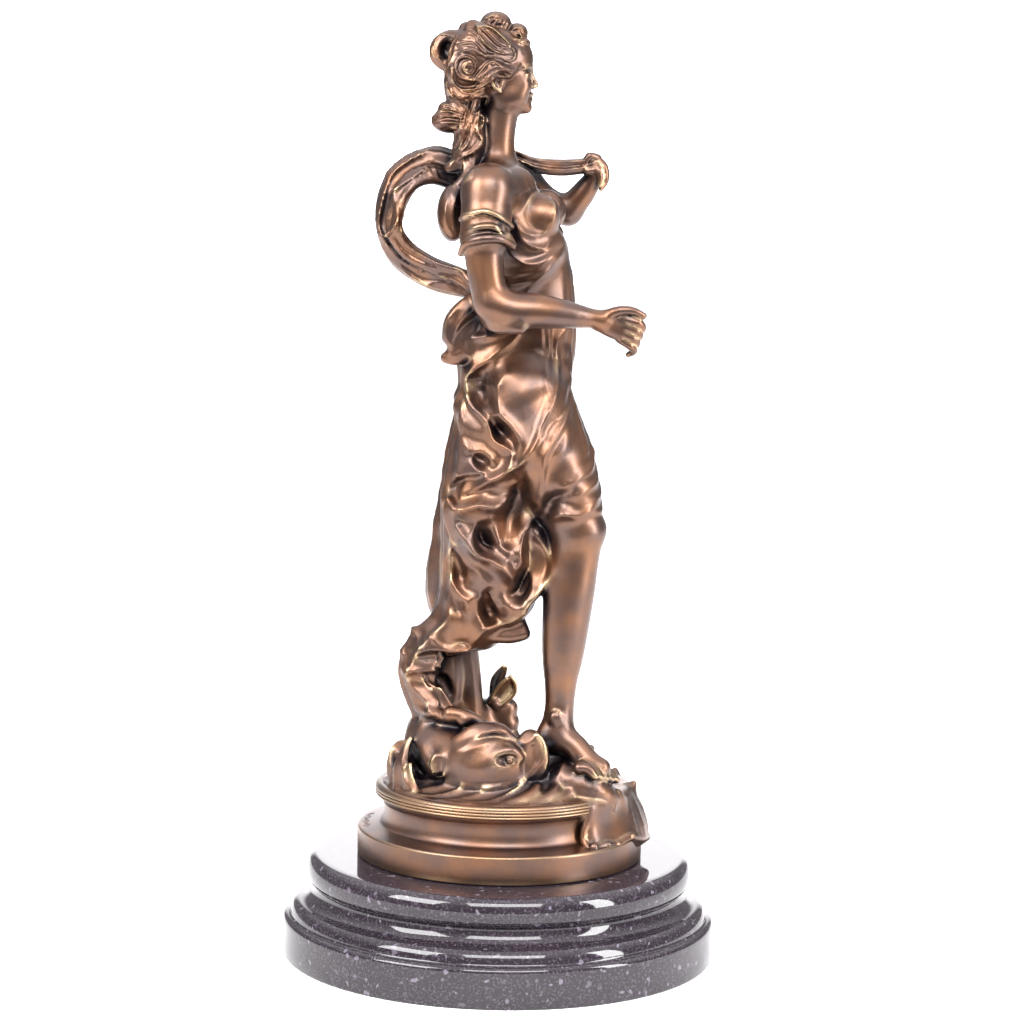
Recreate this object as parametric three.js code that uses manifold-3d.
// A cast bronze goddess striding over a dolphin in the surf, on a turned marble plinth.
// Millimetres, +Z up, the figure faces +X, and the origin is the centre of the plinth's underside.
import * as THREE from "three";
import { edgeTable, triTable } from "three/addons/objects/MarchingCubes.js";
import { mergeVertices } from "three/addons/utils/BufferGeometryUtils.js";
import Module from "manifold-3d";

const wasm = await Module();
wasm.setup();

// Marble plinth
const PLINTH_RADIUS = 89.5;
const PLINTH_HEIGHT = 41.5;
const PLINTH_BAND = 14.5; // upright band at the foot
const PLINTH_EDGE = 2.2; // rounding of the band's top
const PLINTH_LEDGE = 3; // from the band's face to the swell over it
const PLINTH_SWELL = 4; // how far the swell draws in
const PLINTH_SWELL_TOP = 22.5;
const PLINTH_NECK_RADIUS = 76.5;
const PLINTH_FILLET = 0.4; // upright strip under the torus
const PLINTH_TORUS = 12.5; // height of the torus under the top
const PLINTH_TORUS_RADIUS = 79.8;
const PLINTH_TOP_RADIUS = 75.5;
const PLINTH_SIDES = 40;

// Bronze base
const SEAT_GAP = 0.3; // between the bronze and the marble
const BASE_RADIUS = 59;
const BASE_BAND = 11.6; // upright band at the foot
const BASE_CHAMFER = 0.5;
const BASE_LEDGE = 8.5; // width of the step on the band
const BASE_LEDGE_RISE = 1.2;
const BASE_WAIST_RADIUS = 48.2;
const BASE_WAIST_HEIGHT = 18;
const BASE_RIM_RADIUS = 52;
const BASE_RIM = 5; // height of the reeded rim with its rounded top
const BASE_REED = 0.8; // depth of a reed
const BASE_RIM_ROUND = 1.6;
const BASE_HEIGHT = 29.9;
const BASE_SIDES = 40;

// Figure: its places are in parts, of which its height over the base has 98
const FIGURE_HEIGHT = 316;
const PARTS = 98;
const SURF_SINK = 0.9; // of the figure's ground under the base's top
const CELL = 0.6; // modelling grid, in parts
const FACETS = 6600; // triangles left in the figure
const CURL_STEPS = 8; // pieces in one turn of a curl
const WAVES = 14;
const TOES = 5;

// Corners that the edges of a cube join, in the order of the marching cubes tables
const CUBE_EDGES = [
  [0, 1], [1, 2], [3, 2], [0, 3],
  [4, 5], [5, 6], [7, 6], [4, 7],
  [0, 4], [1, 5], [2, 6], [3, 7],
];
const FAR = 1e3;
const NEAR = -1; // the figure's right side, towards -Y
const AWAY = 1; // the figure's left side

const mix = (a, b, t) => a + (b - a) * t;

// Points of any width on a Catmull-Rom curve, with `steps` between each two.
function curved(points, steps) {
  const out = [];
  const last = points.length - 1;
  for (let i = 0; i < last; i++) {
    const [p, q, r, s] = [-1, 0, 1, 2].map((n) => points[THREE.MathUtils.clamp(i + n, 0, last)]);
    for (let k = 0; k < steps; k++) {
      const t = k / steps;
      const bend = (v, n) => {
        const [a, b, rise] = [(r[n] - p[n]) / 2, (s[n] - v) / 2, r[n] - v];
        return v + a * t + (3 * rise - 2 * a - b) * t * t + (a + b - 2 * rise) * t * t * t;
      };
      out.push(q.map(bend));
    }
  }
  return [...out, points[last]];
}

// One straight piece of a stroke, `sizes` being its half widths along and across `side` at each end.
function segment(from, to, sizes, across) {
  const a = new THREE.Vector3(...from);
  const way = new THREE.Vector3(...to).sub(a);
  const length = Math.max(way.length(), 1e-6);
  way.divideScalar(length);
  const side = new THREE.Vector3(...across);
  side.addScaledVector(way, -side.dot(way)).normalize();
  const face = new THREE.Vector3().crossVectors(way, side);
  return { a, length, way, side, face, sizes, reach: Math.max(...sizes.flat()) };
}

function pieces(line, sizesOf, acrossOf) {
  return line.slice(1).map((to, i) => {
    const from = line[i];
    return segment(from.slice(0, 3), to.slice(0, 3), [sizesOf(from), sizesOf(to)], acrossOf(from));
  });
}

// A round rope through [x, y, z, radius] points.
function rope(points, steps = 4) {
  return pieces(curved(points, steps), (p) => [p[3], p[3]], () => [0.31, 0.9, 0.29]);
}

// A bar of oval section through [x, y, z, half width, half depth] points, its width lying `across`.
function bar(points, across, steps = 4) {
  return pieces(curved(points, steps), (p) => p.slice(3, 5), () => across);
}

// A sheet of cloth through [x, y, z, half width, half thickness, across x, y, z] points.
// `pleat` is how many half waves it has from its middle to its edge, and how deep they are.
function sheet(points, pleat = [0, 0], steps = 5) {
  const strip = pieces(curved(points, steps), (p) => p.slice(3, 5), (p) => p.slice(5, 8));
  return strip.map((piece) => ({ ...piece, flat: true, pleat, reach: piece.reach + pleat[1] }));
}

// An oval lump: centre, radii along its own x, y and z, and its lean towards +X in degrees.
function lump(centre, radii, lean = 0) {
  const turn = THREE.MathUtils.degToRad(lean);
  return [{ centre, radii, cos: Math.cos(turn), sin: Math.sin(turn), reach: Math.max(...radii) }];
}

// Distance to an oval with these radii, of a point at u, v, w from its centre.
function oval(u, v, w, ru, rv, rw) {
  const out = Math.hypot(u / ru, v / rv, w / rw);
  const slope = Math.hypot(u / ru / ru, v / rv / rv, w / rw / rw);
  return slope < 1e-9 ? -Math.min(ru, rv, rw) : (out * (out - 1)) / slope;
}

function distance(piece, x, y, z) {
  if (piece.centre) {
    const { centre, radii, cos, sin } = piece;
    const [dx, dz] = [x - centre[0], z - centre[2]];
    return oval(cos * dx - sin * dz, y - centre[1], sin * dx + cos * dz, ...radii);
  }
  const { a, length, way, side, face, sizes } = piece;
  const [dx, dy, dz] = [x - a.x, y - a.y, z - a.z];
  const along = dx * way.x + dy * way.y + dz * way.z;
  const t = Math.min(Math.max(along / length, 0), 1);
  const over = along - t * length;
  const u = dx * side.x + dy * side.y + dz * side.z;
  const w = dx * face.x + dy * face.y + dz * face.z;
  const ru = mix(sizes[0][0], sizes[1][0], t);
  const rw = mix(sizes[0][1], sizes[1][1], t);
  if (!piece.flat) return oval(u, w, over, ru, rw, Math.min(ru, rw));
  const wave = piece.pleat[1] * Math.cos((piece.pleat[0] * Math.PI * u) / ru);
  return Math.hypot(Math.max(Math.abs(u) - ru + rw, 0), w - wave, over) - rw;
}

// The box that a piece of a stroke reaches.
function boxOf(piece) {
  const ends = piece.centre
    ? [new THREE.Vector3(...piece.centre)]
    : [piece.a, piece.a.clone().addScaledVector(piece.way, piece.length)];
  return new THREE.Box3().setFromPoints(ends).expandByScalar(piece.reach);
}

// A distance field on a grid, which strokes build up and carve away.
class Clay {
  constructor(box, cell) {
    this.low = box.min;
    this.cell = cell;
    this.size = box.getSize(new THREE.Vector3()).divideScalar(cell).ceil().addScalar(1).toArray();
    this.step = [1, this.size[0], this.size[0] * this.size[1]];
    const count = this.size[0] * this.size[1] * this.size[2];
    this.field = new Float32Array(count).fill(FAR);
    this.work = new Float32Array(count).fill(FAR);
  }

  // Grid indices of the lowest and highest corner of a box.
  span(box) {
    const clamp = (v, n) => Math.min(Math.max(v, 0), this.size[n] - 1);
    const low = box.min.clone().sub(this.low).divideScalar(this.cell).floor().toArray().map(clamp);
    const high = box.max.clone().sub(this.low).divideScalar(this.cell).ceil().toArray().map(clamp);
    return [low, high];
  }

  each([low, high], work) {
    for (let k = low[2]; k <= high[2]; k++)
      for (let j = low[1]; j <= high[1]; j++)
        for (let i = low[0]; i <= high[0]; i++) work(i + j * this.step[1] + k * this.step[2], i, j, k);
  }

  // Adds a stroke with a soft seam `blend` wide, or takes it away where `hollow`.
  stroke(strokes, blend, hollow) {
    const { low, cell, field, work } = this;
    const margin = blend + 2.5 * cell;
    const whole = new THREE.Box3();
    for (const piece of strokes) {
      const box = boxOf(piece).expandByScalar(margin);
      whole.union(box);
      this.each(this.span(box), (at, i, j, k) => {
        const d = distance(piece, low.x + i * cell, low.y + j * cell, low.z + k * cell);
        if (d < work[at]) work[at] = d;
      });
    }
    const sign = hollow ? -1 : 1;
    this.each(this.span(whole), (at) => {
      const [was, now] = [sign * field[at], work[at]];
      const near = Math.max(blend - Math.abs(was - now), 0);
      field[at] = sign * (Math.min(was, now) - (near * near) / (4 * blend));
      work[at] = FAR;
    });
  }

  add(strokes, blend = 1) {
    this.stroke(strokes, blend, false);
  }

  carve(strokes, blend = 0.6) {
    this.stroke(strokes, blend, true);
  }

  // The y where the clay's skin shows on one side at x and z, or `missing` where there is none.
  skin(x, z, side, missing) {
    const { low, cell, size, step, field } = this;
    const column = Math.round((x - low.x) / cell) + Math.round((z - low.z) / cell) * step[2];
    const first = side < 0 ? 1 : size[1] - 2;
    for (let j = first; j > 0 && j < size[1] - 1; j -= side) {
      const [outer, inner] = [field[column + (j + side) * step[1]], field[column + j * step[1]]];
      if (inner < 0) return low.y + (j + (side * inner) / (inner - Math.max(outer, 1e-6))) * cell;
    }
    return missing;
  }

  // Lays [x, z, radius] points on one side of the clay, sunk by a share of their radius.
  laid(points, side, sink = 0.2) {
    let y = 0;
    return points.map(([x, z, r]) => {
      y = this.skin(x, z, side, y);
      return [x, y - side * sink * r, z, r];
    });
  }

  // Fills a corner of each grid square whose corners are in and out by turns, where the skin would part.
  settle() {
    const { field, step, size } = this;
    const all = [[0, 0, 0], size.map((v) => v - 2)];
    let found = true;
    const fill = (at, u, v) => {
      const inside = field[at] < 0;
      const same = (other) => inside === field[other] < 0;
      if (!same(at + u + v) || same(at + u) || same(at + v)) return;
      const [a, b] = inside ? [at + u, at + v] : [at, at + u + v];
      field[field[a] < field[b] ? a : b] = -1e-3;
      found = true;
    };
    while (found) {
      found = false;
      for (const [u, v] of [[0, 1], [1, 2], [0, 2]]) this.each(all, (at) => fill(at, step[u], step[v]));
    }
  }

  // The skin of the clay as shared vertices and triangles, by marching cubes.
  skinned() {
    this.settle();
    const { field, step, size, cell } = this;
    const square = [0, 1, 1 + step[1], step[1]];
    const corner = [...square, ...square.map((v) => v + step[2])];
    const known = new Map();
    const vertices = [];
    const faces = [];
    const vertexOn = (at, edge) => {
      const [from, to] = CUBE_EDGES[edge].map((c) => at + corner[c]);
      const axis = step.indexOf(to - from);
      const key = from * 3 + axis;
      if (!known.has(key)) {
        const p = [from % size[0], Math.floor(from / step[1]) % size[1], Math.floor(from / step[2])];
        p[axis] += THREE.MathUtils.clamp(field[from] / (field[from] - field[to]), 0.02, 0.98);
        known.set(key, vertices.length);
        vertices.push(new THREE.Vector3(...p).multiplyScalar(cell).add(this.low));
      }
      return known.get(key);
    };
    this.each([[0, 0, 0], size.map((v) => v - 2)], (at) => {
      let kind = 0;
      for (let c = 0; c < 8; c++) if (field[at + corner[c]] < 0) kind |= 1 << c;
      if (edgeTable[kind] === 0) return;
      for (let n = kind * 16; triTable[n] >= 0; n += 3) {
        faces.push([triTable[n + 2], triTable[n + 1], triTable[n]].map((edge) => vertexOn(at, edge)));
      }
    });
    return { vertices, faces: outermost(faces) };
  }
}

// The largest skin among these faces, without loose bits and without hollows sealed inside it.
function outermost(faces) {
  const parent = new Map();
  const root = (v) => {
    while (parent.has(v)) v = parent.get(v);
    return v;
  };
  const join = (a, b) => {
    const [from, to] = [root(a), root(b)];
    if (from !== to) parent.set(Math.max(from, to), Math.min(from, to));
  };
  for (const [a, b, c] of faces) {
    join(a, b);
    join(b, c);
  }
  const count = new Map();
  for (const [a] of faces) count.set(root(a), (count.get(root(a)) ?? 0) + 1);
  const largest = Math.max(...count.values());
  return faces.filter(([a]) => count.get(root(a)) === largest);
}

// How far a point is off the planes of a vertex, squared and weighted by their areas.
function strain(q, p) {
  const { x, y, z } = p;
  const square = q[0] * x * x + q[4] * y * y + q[7] * z * z + q[9];
  return square + 2 * (q[1] * x * y + q[2] * x * z + q[3] * x + q[5] * y * z + q[6] * y + q[8] * z);
}

const normalOf = (a, b, c) => b.clone().sub(a).cross(c.clone().sub(a));

// Melts edges away, those that change the shape least first, until `wanted` triangles are left.
function simplified({ vertices, faces }, wanted) {
  const quadrics = vertices.map(() => new Float64Array(10));
  const around = vertices.map(() => new Set());
  faces.forEach((face, at) => {
    const normal = normalOf(...face.map((v) => vertices[v]));
    const area = Math.max(normal.length(), 1e-9);
    const { x, y, z } = normal.divideScalar(area);
    const d = -normal.dot(vertices[face[0]]);
    const plane = [x * x, x * y, x * z, x * d, y * y, y * z, y * d, z * z, z * d, d * d];
    for (const v of face) {
      around[v].add(at);
      plane.forEach((value, n) => (quadrics[v][n] += value * area));
    }
  });
  let left = faces.length;
  const neighbours = (v) => {
    const found = new Set([...around[v]].flatMap((at) => faces[at]));
    found.delete(v);
    return found;
  };

  // The best place for an edge's joined vertex, and its cost.
  const joined = (v, u) => {
    const q = quadrics[v].map((value, n) => value + quadrics[u][n]);
    const along = (t) => vertices[v].clone().lerp(vertices[u], t);
    const [start, middle, end] = [0, 0.5, 1].map((t) => strain(q, along(t)));
    const bend = 2 * (start + end - 2 * middle);
    const t = bend > 1e-12 ? THREE.MathUtils.clamp((start + bend - end) / (2 * bend), 0, 1) : 0.5;
    const place = along(t);
    const short = vertices[v].distanceToSquared(vertices[u]) * 1e-3;
    return { q, place, cost: strain(q, place) + short * short };
  };
  const turns = (v, u, place) =>
    [...around[v]].some((at) => {
      if (faces[at].includes(u)) return false;
      const before = faces[at].map((n) => vertices[n]);
      const after = faces[at].map((n) => (n === v ? place : vertices[n]));
      const [was, now] = [normalOf(...before), normalOf(...after)];
      return was.dot(now) < 0.25 * was.length() * now.length() || now.length() < 1e-4;
    });
  for (let limit = 1e-4; left > wanted && limit < 1e3; limit *= 1.7) {
    for (let v = 0; v < vertices.length && left > wanted; v++) {
      if (around[v].size === 0) continue;
      const near = neighbours(v);
      for (const u of near) {
        const { q, place, cost } = joined(v, u);
        if (cost > limit) continue;
        const shared = [...neighbours(u)].filter((other) => near.has(other));
        if (shared.length !== 2 || turns(v, u, place) || turns(u, v, place)) continue;
        for (const at of around[u]) {
          if (faces[at].includes(v)) {
            for (const other of faces[at]) if (other !== u) around[other].delete(at);
            left--;
          } else {
            faces[at] = faces[at].map((n) => (n === u ? v : n));
            around[v].add(at);
          }
        }
        around[u].clear();
        vertices[v] = place;
        quadrics[v] = q;
        break;
      }
    }
  }
  return { vertices, faces: faces.filter((face, at) => around[face[0]].has(at)) };
}

// Gives [x, z] points a radius that swells to `radius` in the middle of the line.
function swelling(points, radius) {
  const last = points.length - 1;
  return points.map(([x, z], i) => [x, z, radius * (0.55 + 0.45 * Math.sin((Math.PI * i) / last))]);
}

// A fold: a ridge laid on one side of the clay, with a valley beside it.
function fold(clay, points, radius = 0.85, side = NEAR) {
  clay.add(rope(clay.laid(swelling(points, radius), side)), 0.7);
}

// A pocket between folds on the near side.
function pocket(clay, points, radius) {
  clay.carve(rope(clay.laid(swelling(points, radius), NEAR, 0)), 1.2);
}

// [x, y, z, radius] points of a curl about a centre, in the plane across Y, `from` in degrees.
function spiral([x, y, z], from, turns, outer, inner, radius) {
  const count = Math.ceil(turns * CURL_STEPS);
  return Array.from({ length: count + 1 }, (_, i) => {
    const t = i / count;
    const angle = THREE.MathUtils.degToRad(from) + (i / CURL_STEPS) * 2 * Math.PI;
    const r = mix(outer, inner, t);
    return [x + r * Math.cos(angle), y - 0.5 * t, z + r * Math.sin(angle), mix(radius, 0.6 * radius, t)];
  });
}

function torso(clay) {
  const chest = [0.2, 0.98, 0];
  clay.add(
    bar(
      [
        [1.4, 0, 46, 5.8, 4.8],
        [1.2, 0, 50, 6.2, 5.2],
        [2.6, 0, 56, 5.4, 5.6],
        [2.6, 0, 63, 4.8, 5.4],
        [1.4, 0, 69, 6, 5.5],
        [-0.8, 0.2, 74, 6.5, 4.2],
        [-1.8, 0.3, 77.2, 5.6, 2.8],
      ],
      chest,
    ),
    1,
  );
  clay.add(rope([[0.5, -3, 76.5, 2.3], [-3, -8, 76, 3.1]]), 2);
  clay.add(rope([[0, 3, 76.5, 2.3], [0.5, 8.3, 76.8, 2.9]]), 2);
  clay.add(lump([3.5, -3.2, 72.9], [2.6, 2.6, 2.7]), 1.2);
  clay.add(lump([4.3, 3.6, 73.4], [2.5, 2.6, 2.7]), 1.2);
  clay.add(rope([[-2, 0.3, 77.5, 2.7], [-2, 0, 82, 2.15], [-1.6, 0, 86, 2.2]]), 1.5);
}

function head(clay) {
  clay.add(lump([-3.5, 0, 91.8], [4.8, 4, 4.8]), 1);
  clay.add(lump([-0.5, 0, 89.6], [2.95, 2.9, 4.3]), 1);
  clay.add(lump([1.2, 0, 86.6], [1.35, 1.3, 1.05]), 0.7);
  clay.add(rope([[2.1, 0, 91.2, 0.5], [3, 0, 89.3, 0.6]]), 0.7);
  clay.add(rope([[1.9, -0.8, 87.8, 0.35], [2.35, 0, 87.8, 0.5], [1.9, 0.8, 87.8, 0.35]]), 0.5);
  for (const side of [NEAR, AWAY]) clay.carve(lump([2.4, side * 1.3, 90.2], [0.8, 0.8, 0.55]), 0.5);
  clay.add(lump([-2.1, -3.2, 89.1], [0.8, 0.45, 1.1], -15), 0.4);
}

function hair(clay) {
  for (const side of [NEAR, AWAY]) {
    clay.add(rope(spiral([-5.9, side * 3, 90.9], 20, 1.4, 1.9, 0.4, 0.75)), 0.5);
    clay.add(rope([[-4.2, side * 3.4, 90.4, 0.8], [-2.3, side * 3.3, 91, 0.75],
      [-0.6, side * 2.7, 91.8, 0.7]]), 0.5);
    clay.add(rope([[-4.5, side * 3.2, 93, 0.9], [-2.2, side * 2.9, 94, 0.85],
      [0, side * 1.9, 93.6, 0.7]]), 0.5);
    clay.add(rope([[-7.7, side * 2, 88, 0.9], [-6.4, side * 2.9, 86.6, 0.9],
      [-4.4, side * 3, 87.6, 0.8]]), 0.5);
    clay.add(rope([[-4.6, side * 1.6, 97, 0.9], [-2, side * 2, 96.2, 0.9],
      [0.6, side * 1, 95.3, 0.8]]), 0.6);
  }
  clay.add(lump([-2.4, 0, 96.9], [1.9, 1.5, 1.6]), 0.6);
  clay.add(lump([0.3, 0, 95.6], [1.3, 1.3, 1.2]), 0.6);
  clay.add(lump([-6.2, 0, 95.9], [1, 0.9, 0.9]), 0.5);
  clay.add(rope([[-6.6, 0, 94.8, 0.9], [-8.3, 0, 94.9, 1.1], [-9.4, 0, 93.6, 1.2],
    [-8.9, 0, 91.9, 1.1], [-7.4, 0, 91, 1]]), 0.5);
  clay.add(lump([-6, 0, 88.8], [2.7, 3, 3.2]), 0.8);
  clay.add(rope([[-6.9, -0.4, 87, 1.3], [-8.1, -0.5, 85.2, 1.6], [-8.7, -0.5, 83.7, 1.3]]), 0.7);
  clay.add(rope([[-6.2, -0.6, 86.6, 1.9], [-5.8, -0.8, 83.6, 2], [-5.2, -1, 80.4, 2.1],
    [-5.8, -1.4, 77.4, 1.5]]), 0.8);
  clay.add(rope([[-5, -2.2, 86.5, 0.9], [-4.2, -2.7, 84.2, 0.8], [-4.6, -3, 81.8, 0.9],
    [-6, -3.2, 79.4, 0.8]]), 0.5);
  clay.add(rope([[-6, -3.2, 79.4, 0.8], [-5.4, -3.6, 77, 0.9], [-7, -3.6, 74.6, 0.8],
    [-7.4, -3.6, 72.2, 0.6]]), 0.6);
}

function hand(clay, palm, tips, thumb) {
  clay.add(palm, 0.6);
  for (const finger of tips) clay.add(rope(finger, 3), 0.35);
  clay.add(rope(thumb, 3), 0.4);
}

function nearArm(clay) {
  clay.add(
    rope([
      [-3, -8.3, 76, 3.1],
      [-3.3, -9.2, 72.5, 2.9],
      [-3.3, -9.8, 68.5, 2.45],
      [-2.9, -10.2, 65, 2.25],
      [-2.1, -10.4, 62.3, 2.2],
    ]),
    1.2,
  );
  clay.add(
    rope([
      [-2.1, -10.4, 62.3, 2.2],
      [0.5, -10.6, 61.5, 2.25],
      [3.5, -10.4, 61.4, 2.15],
      [7, -9.9, 61, 1.7],
      [10, -9.2, 60.6, 1.2],
      [11.4, -8.9, 60.4, 1.15],
    ]),
    0.8,
  );
  hand(
    clay,
    bar([[11, -8.9, 60.2, 1.2, 0.8], [12.6, -8.7, 59.9, 1.6, 0.75],
      [14.2, -8.5, 59.6, 1.6, 0.7]], [0, 0.1, 1]),
    [
      [[14, -8.6, 60.6, 0.5], [15.6, -8.9, 60.4, 0.45], [16.6, -8.5, 59.6, 0.42],
        [16.2, -8, 58.9, 0.4]],
      [[14.1, -8.5, 59.6, 0.5], [15.9, -8.7, 59.1, 0.45], [16.6, -8, 58.2, 0.42],
        [16, -7.6, 57.7, 0.4]],
      [[14.1, -8.4, 58.8, 0.5], [15.6, -8.6, 58, 0.45], [15.9, -8, 57.1, 0.42],
        [15.3, -7.6, 56.8, 0.4]],
      [[13.8, -8.3, 58.1, 0.45], [15, -8.4, 57, 0.42], [15.1, -7.9, 56.3, 0.4],
        [14.5, -7.6, 56.1, 0.38]],
    ],
    [[11.6, -9, 61.2, 0.6], [13.4, -9.4, 61.7, 0.55], [15.1, -9.3, 61.5, 0.5],
      [16.3, -8.9, 60.6, 0.42]],
  );
  clay.add(rope([[-5.9, -8.6, 72.6, 0.8], [-4, -11.6, 72.2, 0.9], [-0.8, -11.2, 71.2, 0.9],
    [0.2, -8.6, 70.6, 0.8]]), 0.6);
  clay.add(rope([[-5.9, -9, 70.6, 0.8], [-4, -12, 69.9, 0.9], [-1.2, -11.4, 69.3, 0.9],
    [-0.4, -9, 69.2, 0.8]]), 0.6);
}

function farArm(clay) {
  clay.add(rope([[0.9, 9, 77, 2.6], [4, 9.8, 74.4, 2.2], [7.2, 10, 73.3, 1.8]]), 1.2);
  clay.add(rope([[7.2, 10, 73.3, 1.8], [8.9, 9.3, 75.4, 1.6], [10.4, 8.5, 77.6, 1.2]]), 0.8);
  hand(
    clay,
    bar([[10.5, 8.5, 77.6, 1.3, 0.9], [10.2, 8.3, 79.2, 1.5, 0.9]], [1, 0, 0.2]),
    [0, 1, 2, 3].map((n) => [
      [10 + 0.2 * n, 7.4 + 0.5 * n, 80, 0.5],
      [9.1, 7 + 0.6 * n, 80.2, 0.45],
      [8.8, 7.1 + 0.6 * n, 78.9, 0.42],
    ]),
    [[10.9, 7.6, 77.9, 0.55], [10.1, 6.9, 78.5, 0.5], [9.2, 6.8, 78.3, 0.45]],
  );
}

function nearLeg(clay) {
  clay.add(rope([[2.4, -4, 46, 5.2], [6.3, -5, 40.5, 4.4], [9, -5, 34.2, 3.5]]), 2);
  clay.add(
    rope([
      [9.1, -5, 33.6, 3.35],
      [8.7, -5, 29.5, 3.15],
      [8.2, -5, 25.9, 3.25],
      [7.6, -5, 18.3, 2.7],
      [7.4, -5, 14.5, 2.1],
      [7.3, -5, 11.2, 1.85],
      [7.1, -5.3, 8.5, 2.1],
    ]),
    1,
  );
  clay.add(lump([10.6, -5.4, 34], [1.6, 2, 2.2]), 1.2);
  clay.add(rope([[6.2, -5.6, 7.2, 1.9], [8.7, -6.4, 6.7, 1.7], [11, -7.4, 4.5, 1.6],
    [12.6, -8, 3.9, 1.3]]), 0.9);
  clay.add(lump([6.8, -7, 9.9], [0.8, 0.5, 0.9]), 0.6);
  for (let n = 0; n < TOES; n++) {
    const y = -6 - 0.95 * n;
    const far = 14.5 - 0.5 * n;
    clay.add(rope([[12, y, 3.7, 0.75], [far - 1, y - 0.1, 3, 0.7], [far, y - 0.2, 2.2, 0.6]], 3), 0.35);
  }
}

function farLeg(clay) {
  clay.add(rope([[0.2, 3.5, 48, 5], [-3, 4, 40, 4], [-5.6, 4, 33, 3.1]]), 2);
  clay.add(rope([[-5.6, 4, 33, 3], [-7, 4, 24.3, 2.9], [-5.2, 4, 15, 2.2], [-4.4, 4, 9.9, 1.9],
    [-4.2, 4, 6.5, 1.9]]), 1);
  clay.add(rope([[-4.4, 4, 6.3, 1.9], [-1.6, 4.8, 5.4, 1.7], [1, 5.4, 4.8, 1.4]]), 1);
}

// Lines of the dress's folds on its near side, as [x, z] points and a radius each.
const NEAR_FOLDS = [
  [[[7, 59.7], [6.3, 56.8], [6.3, 53.1], [5.9, 50.1], [5, 47.6], [3.8, 45.5], [2.1, 43],
    [-0.2, 40.7], [-2, 38.7]], 0.8],
  [[[8, 48.6], [6.8, 47], [5.2, 45], [4.4, 41.9], [4.3, 39.1], [4, 36.7], [2.5, 34.7], [2, 32.3],
    [1.8, 29.3]], 1],
  [[[0.2, 57.4], [-4.2, 53.5], [-5.3, 52.2], [-4.7, 50.4], [-2.3, 47], [0, 44.7], [0.3, 42.3],
    [-2, 40.5], [-4.1, 39]], 0.9],
  [[[-0.2, 53.6], [-1.4, 52.3], [-1.5, 50.5], [-0.8, 48.4], [0.9, 46.8], [1.6, 45.6], [1, 43.7]], 0.7],
  [[[-7.1, 38], [-6.7, 36.7], [-4.8, 36.6], [-3, 37.1], [-0.4, 37.3], [0.6, 38.7]], 0.9],
  [[[-6.5, 36.3], [-5.3, 34], [-3.8, 32.1], [-1.9, 30.5], [0.3, 29.2], [1.3, 27.4]], 1],
  [[[-4.6, 36.4], [-3.7, 35], [-4, 33.6], [-3.1, 31.7], [-1.1, 30.3]], 0.7],
  [[[2.5, 34.5], [3.6, 33], [5.2, 31.3], [5.6, 29.7], [5.1, 27.1], [3.7, 24.7], [2.8, 23.1]], 0.8],
  [[[-2.5, 26.8], [-3.3, 25.9], [-3.5, 24.1], [-4.1, 21.3], [-4.5, 18.8]], 0.8],
  [[[3, 23.1], [1.4, 22.3], [-0.9, 21.5], [-2.9, 20.7], [-3.8, 18.9]], 0.7],
  [[[-6.6, 31.9], [-6.6, 29.7], [-6.8, 26.6], [-6.3, 25.2], [-6.9, 19.8]], 0.9],
  [[[-8.2, 33], [-8.6, 28.1], [-9.2, 24.4], [-9, 21.2]], 0.7],
  [[[-0.6, 37], [-0.8, 34.7], [-0.3, 32.7], [1.5, 31.6]], 0.7],
  [[[11.6, 37.4], [9.7, 36.2], [7.5, 36.2], [5.8, 36.5], [4.5, 34.6]], 0.7],
  [[[8, 48.4], [6.6, 45.1], [5.1, 41.5]], 0.6],
  [[[10.4, 43.7], [7.9, 41.6], [5.4, 39]], 0.6],
  [[[11.4, 40], [9.2, 38.9], [6.1, 37.8]], 0.6],
  [[[1.1, 67.1], [4.2, 68], [6.4, 69.2]], 0.8],
  [[[-0.7, 63.6], [2.4, 65.1], [6, 67.1]], 0.7],
  [[[3.2, 62], [3, 58], [2, 54.5], [2.6, 50]], 0.6],
];

// The same for the far side, which hangs plainer.
const FAR_FOLDS = [
  [[[6.4, 58], [5.6, 53], [4.2, 48], [2, 43.6], [-1, 40.4], [-4, 38.4]], 0.9],
  [[[2.4, 60], [1.4, 55], [-1, 50.4], [-3.4, 46.4], [-5, 41]], 0.9],
  [[[-1.6, 58.6], [-3.4, 54], [-4.6, 49], [-6.4, 44], [-7, 38]], 0.8],
  [[[7.4, 46], [5.2, 41], [3.6, 36], [1.4, 31], [0.4, 26.4]], 0.9],
  [[[2.6, 38], [0.4, 33.4], [-1.8, 28.4], [-3, 23]], 0.8],
  [[[-2, 36.4], [-4, 31.4], [-5, 26.4], [-6, 21]], 0.8],
  [[[-6, 35], [-7.4, 30], [-8.2, 25.4], [-8.2, 21]], 0.8],
  [[[9, 41.4], [6.4, 38.6], [3.6, 35]], 0.7],
  [[[0.4, 66.4], [3.6, 68], [6.4, 69.6]], 0.8],
  [[[-0.6, 63], [2.4, 64.6], [5.8, 66.6]], 0.7],
];

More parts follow.
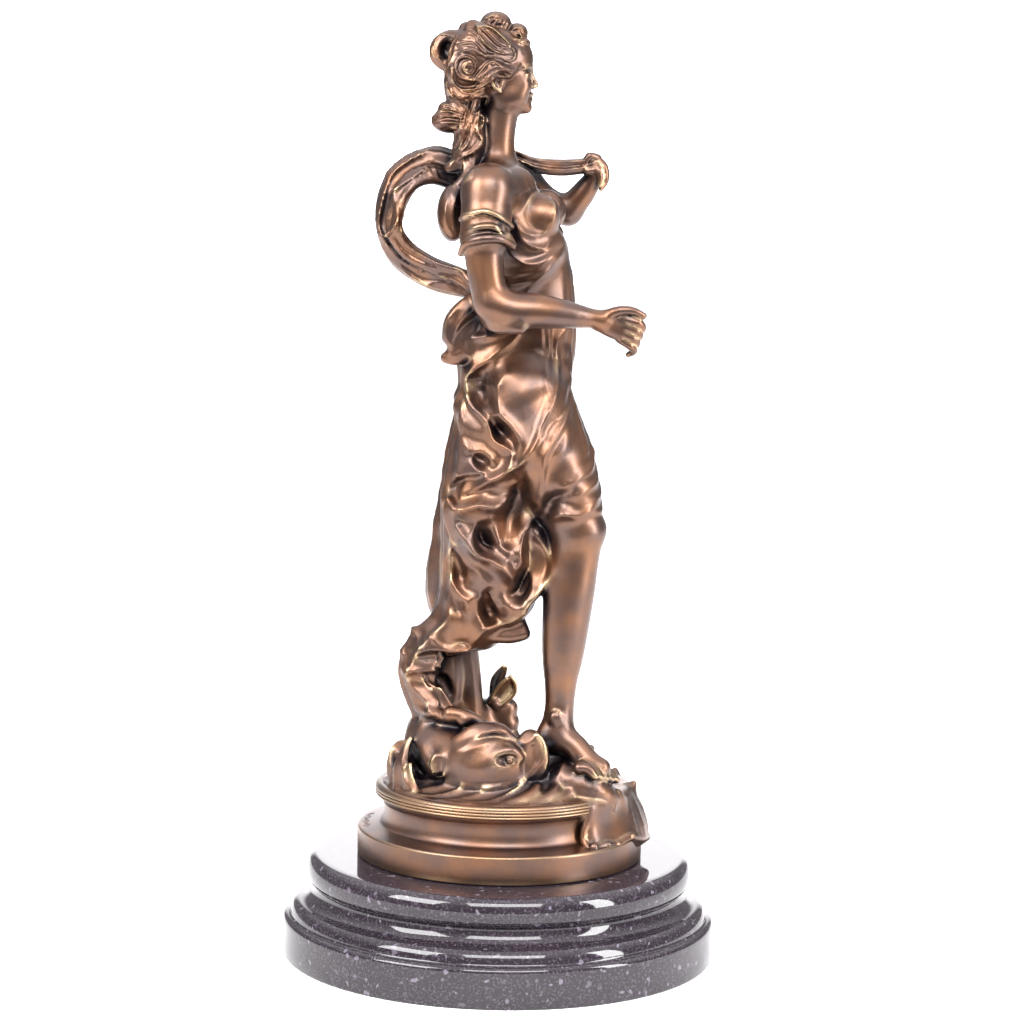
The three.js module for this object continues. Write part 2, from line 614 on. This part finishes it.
// Deep pockets between the folds of the swag, as [x, z] points and a radius each.
const NEAR_POCKETS = [
  [[[-3, 53], [-3.2, 51], [-2.6, 49.2]], 1.1],
  [[[-6.4, 38.1], [-5.8, 39.4], [-3.7, 40.3]], 0.8],
  [[[1.5, 39.4], [1.1, 37], [0.4, 34.6], [0.2, 32.7]], 1.2],
  [[[-2.9, 34], [-2.9, 32.4], [-1.7, 30.8]], 1],
  [[[-2, 24.9], [-1.9, 23.2], [-0.8, 22.6]], 1.3],
  [[[-5.7, 30.6], [-5.3, 28.4], [-5, 26.5]], 1],
  [[[3.6, 32], [4.4, 29.8], [3.9, 27.4]], 0.9],
  [[[4.9, 36.6], [5.9, 37.8], [7.3, 38.2]], 0.8],
];

// Cloth that lies on the thighs and gathers in a swag behind them, and its folds.
function dress(clay) {
  clay.add(rope([[2, -3.5, 50, 5.8], [5.2, -4.3, 44, 5], [7.1, -4.6, 38.6, 4.2]]), 2);
  clay.add(rope([[1.2, 3.5, 50, 5.4], [-0.2, 4, 44, 4.7], [-3.4, 4, 37, 4.1]]), 2);
  clay.add(
    bar(
      [
        [-2, -0.5, 56.5, 4.6, 5],
        [-1.3, -1, 50, 4.7, 5.8],
        [-1.9, -1.6, 39.9, 5.8, 6.6],
        [-1.4, -1.8, 31.5, 6.2, 6],
        [-1.9, -1.8, 25.5, 5.9, 5.4],
        [-3.9, -1.8, 22, 4.8, 4.4],
      ],
      [1, 0, 0],
    ),
    1.5,
  );
  clay.add(rope([[-2.4, -4, 63.2, 1], [-5, -5, 61.6, 1.3], [-6.9, -5, 59.8, 1.2],
    [-8, -4.6, 57.4, 1]]), 0.8);
  clay.add(rope([[-4.4, -3, 60.6, 1.6], [-6, -4, 57.6, 1.6], [-7, -4, 54.6, 1.2]]), 0.8);
  clay.add(rope([[-1.4, -5, 24, 1.6], [0.8, -5.4, 22, 1.3], [2.5, -5.4, 20.9, 1]]), 0.8);
  clay.add(rope([[-4.6, -3.4, 19.8, 1.3], [-1.8, -3.6, 20.6, 1.2], [0.8, -3.9, 21, 1.1],
    [2.6, -4.2, 21.4, 0.9]]), 0.8);
  for (const [points, radius] of NEAR_POCKETS) pocket(clay, points, radius);
  for (const [points, radius] of NEAR_FOLDS) fold(clay, points, radius);
  for (const [points, radius] of FAR_FOLDS) fold(clay, points, radius, AWAY);
}

// The hem that trails behind onto the rock.
function train(clay) {
  const across = [0.2, 1, 0.1];
  const trail = [
    [-6, -1, 22, 5, 1.6, ...across],
    [-9.4, -0.8, 18, 5, 1.8, ...across],
    [-10.4, -0.6, 14, 4.6, 1.5, ...across],
    [-7.8, -0.6, 8, 4.4, 1.5, ...across],
    [-5.8, -0.6, 3.6, 4.4, 1.5, ...across],
  ];
  clay.add(sheet(trail, [2.5, 0.7]), 1);
  clay.add(rope([[-12.6, -3, 17.8, 0.8], [-8, -4.6, 18, 1], [-4.6, -5.2, 17.8, 0.9]]), 0.8);
  clay.add(rope([[-11.4, -2.6, 19.8, 0.8], [-8.6, -3.6, 20.6, 1.1], [-6, -4, 21, 1]]), 0.8);
  clay.add(rope([[-12.6, -3, 14.8, 0.7], [-10.4, -4.4, 13.4, 0.9], [-8.2, -5, 12.4, 0.9]]), 0.8);
  clay.add(rope([[-10.6, -3, 11.1, 0.8], [-9.2, -5, 10.2, 0.9], [-7.8, -5.6, 9.6, 0.8]]), 0.8);
  clay.add(rope([[-10.3, -4, 7.4, 0.8], [-9, -6, 5.6, 0.9], [-7.7, -7, 4.2, 0.8]]), 0.8);
}

// The scarf from the far hand, behind the head and shoulders, round to the near elbow.
function scarf(clay) {
  clay.add(rope([[10.6, 8, 79.6, 0.9], [6.5, 7, 78.7, 1], [2.5, 5.6, 79.1, 1],
    [-0.5, 4.5, 80.1, 1], [-3.5, 3.6, 79.9, 1.1]]), 0.6);
  const loop = [
    [-3, 3.4, 79.9, 1.2, 0.9, 0.3, 1, 0.2],
    [-6.2, 1.8, 78.1, 2.4, 0.75, 0.1, 0.8, 1],
    [-10.4, 1, 79, 2.9, 0.65, 0.2, 1, 1],
    [-14.1, 0.2, 76.8, 3, 0.65, -0.6, 1, 0.4],
    [-15.7, -0.2, 71.9, 2.9, 0.65, -0.5, 1, 0],
    [-14, -0.4, 67.9, 2.7, 0.65, -0.4, 1, -0.7],
    [-10.3, -0.8, 65.5, 2.4, 0.7, 0.1, 0.8, -1],
    [-5.8, -2.2, 64.2, 2, 0.8, 0.2, 0.8, -0.9],
    [-3.2, -4, 63, 1.5, 0.9, 0.3, 1, 0],
  ];
  clay.add(sheet(loop, [2, 0.35]), 0.7);
  clay.add(rope([[-3.6, -5, 63.4, 1.3], [-2.6, -8, 60.6, 1.3], [-1.4, -10.4, 59.6, 1],
    [1.2, -11.8, 59.4, 0.8]]), 0.8);
  clay.add(lump([-7.4, -2.6, 73], [2, 2.6, 3.6]), 1);
}

// The dolphin lies round the feet with its tail up between the legs.
function dolphin(clay) {
  clay.add(
    rope([
      [-2.4, -8.6, 4.2, 4],
      [-5, -7, 5, 3.8],
      [-9, -2, 6, 3.4],
      [-7, 4, 7.6, 3],
      [-2.2, 6.4, 7.4, 2.4],
      [0.6, 5.8, 8.8, 1.5],
    ]),
    1.2,
  );
  clay.add(lump([-1.5, -9, 4.8], [5, 3.2, 4.1], 12), 1.2);
  clay.add(rope([[-4.6, -11, 2.6, 1.8], [-6.6, -12, 1.4, 1.3], [-7.8, -12.4, 0.6, 0.9]]), 0.8);
  clay.add(rope(spiral([1, -11.9, 5.9], 0, 1, 1.2, 1.2, 0.45)), 0.4);
  clay.add(lump([4.2, -9, 5.4], [2.3, 1.2, 3.4], -8), 0.8);
  clay.add(rope([[3.4, -9.6, 8.6, 0.5], [6, -9.8, 7.6, 0.5], [6.7, -9.9, 5.4, 0.5],
    [5.8, -9.8, 3, 0.5]]), 0.4);
  clay.add(rope([[-8, -7.6, 8.4, 0.9], [-5, -8.6, 9.4, 1.1], [-1.6, -9, 8.8, 1],
    [1.6, -8.6, 7.4, 0.8]]), 0.7);
  clay.add(sheet([[0.9, 5.8, 9.2, 1.3, 0.7, 1, -0.3, 0], [0.3, 6, 11.4, 1.5, 0.5, 1, -0.4, 0.1],
    [0.1, 6.2, 13.6, 1.8, 0.4, 1, -0.4, 0.2]], [1, -0.5]), 0.6);
}

// An [x, y, z, radius] point at an angle and a distance from the figure's upright axis.
function around(angle, r, z, radius) {
  return [r * Math.cos(angle), r * Math.sin(angle), z, radius];
}

// Rock and surf under it all.
function surf(clay) {
  clay.add(lump([-0.2, 0, -2], [14.4, 14.4, 6.6]), 1);
  for (let n = 0; n < WAVES; n++) {
    const angle = (n / WAVES) * 2 * Math.PI;
    const crest = 1.9 - 0.8 * Math.cos(angle) + 0.8 * Math.sin(5 * angle);
    const wave = [
      [10, 0, 1.6, 1.5],
      [12, 0.09, crest, 1.4],
      [13.4, 0.2, crest - 0.4, 0.9],
      [13, 0.3, crest - 1.6, 0.6],
    ];
    clay.add(rope(wave.map(([r, turn, z, radius]) => around(angle + turn, r, z, radius))), 0.7);
  }
  clay.add(rope([[-10, -4, 2.6, 1.6], [-12, -4, 4, 1.3], [-13, -3.6, 5.2, 0.7]]), 0.7);
  clay.add(rope([[6, -6, 2, 2.2], [10.4, -8.6, 0.6, 1.7]]), 1);
  clay.add(rope([[-5.4, 3.6, 4, 2.6], [0.6, 5.4, 3, 2.4]]), 1.2);
  clay.add(rope([[10.6, -2, 3.4, 1], [11.4, -2, 5.2, 0.6]]), 0.6);
}

// A shell ornament hangs over the front of the base, from its rim to its lower step.
function shell(clay) {
  const at = (degrees, r, z, radius) => around(THREE.MathUtils.degToRad(degrees), r, z, radius);
  for (const side of [NEAR, AWAY]) {
    const mirrored = (points) => rope(points.map(([turn, ...rest]) => at(side * turn, ...rest)));
    clay.add(mirrored([[24, 16.6, -0.6, 0.6], [36, 15.9, -1.8, 0.6], [44, 15.6, -3, 0.6],
      [46, 16, -4.6, 0.6], [43, 17.4, -5.8, 0.5]]), 0.6);
    clay.add(mirrored([[2, 19, -6.2, 0.6], [12, 18.5, -6, 0.6], [18, 17.6, -4.6, 0.5],
      [20, 16.4, -2, 0.5]]), 0.6);
    clay.add(mirrored([[13, 15.4, -1.4, 1.3], [13, 16, 0, 0.9], [11, 16.3, 0.9, 0.5]]), 0.6);
    for (const [turn, r, z] of [[31, 16.3, -0.9], [45, 17.2, -5.4], [36, 17.8, -5.4],
      [30, 17.9, -5.9], [17, 18.2, -5.8]]) {
      clay.add(lump(at(side * turn, r, z, 0).slice(0, 3), [0.75, 0.75, 0.75]), 0.25);
    }
    for (const turn of [6, 18, 30]) {
      clay.add(mirrored([[turn, 15.2, -0.6, 1.5], [turn, 15.8, -3.4, 1.7], [turn, 17, -5.4, 0.9]]), 1);
    }
  }
  clay.add(rope([[15.4, 0, -1.4, 1.4], [16.4, 0, -4, 2], [18.4, 0, -6, 1]]), 0.8);
}

// The whole figure in parts, over the centre of the bronze base's top.
function figure() {
  const box = new THREE.Box3(new THREE.Vector3(-19.5, -19.5, -10), new THREE.Vector3(20.5, 19.5, 99.5));
  const clay = new Clay(box, CELL);
  torso(clay);
  nearLeg(clay);
  farLeg(clay);
  dress(clay);
  train(clay);
  scarf(clay);
  nearArm(clay);
  farArm(clay);
  head(clay);
  hair(clay);
  surf(clay);
  dolphin(clay);
  shell(clay);
  const { vertices, faces } = simplified(clay.skinned(), FACETS);
  const geometry = new THREE.BufferGeometry().setFromPoints(vertices);
  geometry.setIndex(faces.flat());
  const scale = FIGURE_HEIGHT / PARTS;
  return geometry.scale(scale, scale, scale);
}

// A solid turned from [radius, height] points, its foot first.
function turned(profile, sides) {
  const closed = [[0, profile[0][1]], ...profile, [0, profile.at(-1)[1]]];
  const points = closed.map(([r, z]) => new THREE.Vector2(r, z));
  return new THREE.LatheGeometry(points, sides).rotateX(Math.PI / 2);
}

// Quarter round between two [radius, height] corners, leaving the first one upright or level.
function quarter([r0, z0], [r1, z1], upright, count = 4) {
  return Array.from({ length: count }, (_, i) => {
    const angle = ((i / (count - 1)) * Math.PI) / 2;
    const [early, late] = [Math.sin(angle), 1 - Math.cos(angle)];
    return upright ? [mix(r0, r1, late), mix(z0, z1, early)] : [mix(r0, r1, early), mix(z0, z1, late)];
  });
}

function plinthProfile() {
  const shoulder = [PLINTH_RADIUS - PLINTH_EDGE, PLINTH_BAND + PLINTH_EDGE];
  const swell = [PLINTH_RADIUS - PLINTH_LEDGE, PLINTH_BAND + PLINTH_EDGE];
  const turn = [swell[0] - PLINTH_SWELL, PLINTH_SWELL_TOP];
  const neck = [PLINTH_NECK_RADIUS, PLINTH_HEIGHT - PLINTH_TORUS];
  const bulge = [PLINTH_TORUS_RADIUS, PLINTH_HEIGHT - 0.5 * PLINTH_TORUS];
  return [
    [PLINTH_RADIUS, 0],
    ...quarter([PLINTH_RADIUS, PLINTH_BAND], shoulder, true, 3),
    ...quarter(swell, turn, true),
    ...quarter(turn, neck, false).slice(1),
    ...quarter([neck[0], neck[1] + PLINTH_FILLET], bulge, false).slice(1),
    ...quarter(bulge, [PLINTH_TOP_RADIUS, PLINTH_HEIGHT], true).slice(1),
  ];
}

function baseProfile() {
  const step = [BASE_RADIUS - BASE_LEDGE, BASE_BAND + BASE_LEDGE_RISE];
  const waist = [BASE_WAIST_RADIUS, BASE_WAIST_HEIGHT];
  const rim = [BASE_RIM_RADIUS - BASE_REED, BASE_HEIGHT - BASE_RIM];
  const crown = [rim[0], BASE_HEIGHT - BASE_RIM / 4];
  const reeds = [0, 1, 2].flatMap((n) => [
    [rim[0], rim[1] + (n * BASE_RIM) / 4],
    [BASE_RIM_RADIUS, rim[1] + ((n + 0.5) * BASE_RIM) / 4],
  ]);
  return [
    [BASE_RADIUS, 0],
    [BASE_RADIUS, BASE_BAND - BASE_CHAMFER],
    [BASE_RADIUS - BASE_CHAMFER, BASE_BAND],
    ...quarter(step, waist, false),
    ...quarter(waist, rim, true, 5).slice(1, -1),
    ...reeds,
    ...quarter(crown, [rim[0] - BASE_RIM_ROUND, BASE_HEIGHT], true, 3),
  ];
}

// The closed solid of a geometry whose corners meet.
function solidOf(geometry) {
  geometry.deleteAttribute("normal");
  geometry.deleteAttribute("uv");
  const { attributes, index } = mergeVertices(geometry, 1e-4);
  const corners = index.array;
  const whole = (at) => new Set(corners.slice(at, at + 3)).size === 3;
  const triVerts = Uint32Array.from(corners).filter((_, n) => whole(n - (n % 3)));
  const shape = { numProp: 3, vertProperties: attributes.position.array, triVerts };
  return new wasm.Manifold(new wasm.Mesh(shape));
}

// The outer skin of a solid, as a geometry.
function geometryOf(solid) {
  const { vertProperties, triVerts } = solid.getMesh();
  const geometry = new THREE.BufferGeometry();
  geometry.setAttribute("position", new THREE.BufferAttribute(vertProperties, 3));
  const faces = Array.from({ length: triVerts.length / 3 }, (_, n) => [...triVerts.slice(3 * n, 3 * n + 3)]);
  geometry.setIndex(outermost(faces).flat());
  geometry.computeVertexNormals();
  return geometry;
}

function piece(name, geometry, color, roughness, metalness) {
  const material = new THREE.MeshStandardMaterial({ color, roughness, metalness });
  const mesh = new THREE.Mesh(geometry, material);
  mesh.name = name;
  return mesh;
}

function statue() {
  const base = solidOf(turned(baseProfile(), BASE_SIDES));
  const goddess = solidOf(figure().translate(0, 0, BASE_HEIGHT - SURF_SINK));
  const bronze = piece("bronze_goddess", geometryOf(base.add(goddess)), 0x6e4b2e, 0.38, 1);
  bronze.position.z = PLINTH_HEIGHT + SEAT_GAP;
  const marble = piece("marble_plinth", turned(plinthProfile(), PLINTH_SIDES), 0x2d2932, 0.15, 0);
  return new THREE.Group().add(bronze, marble);
}

export default statue();
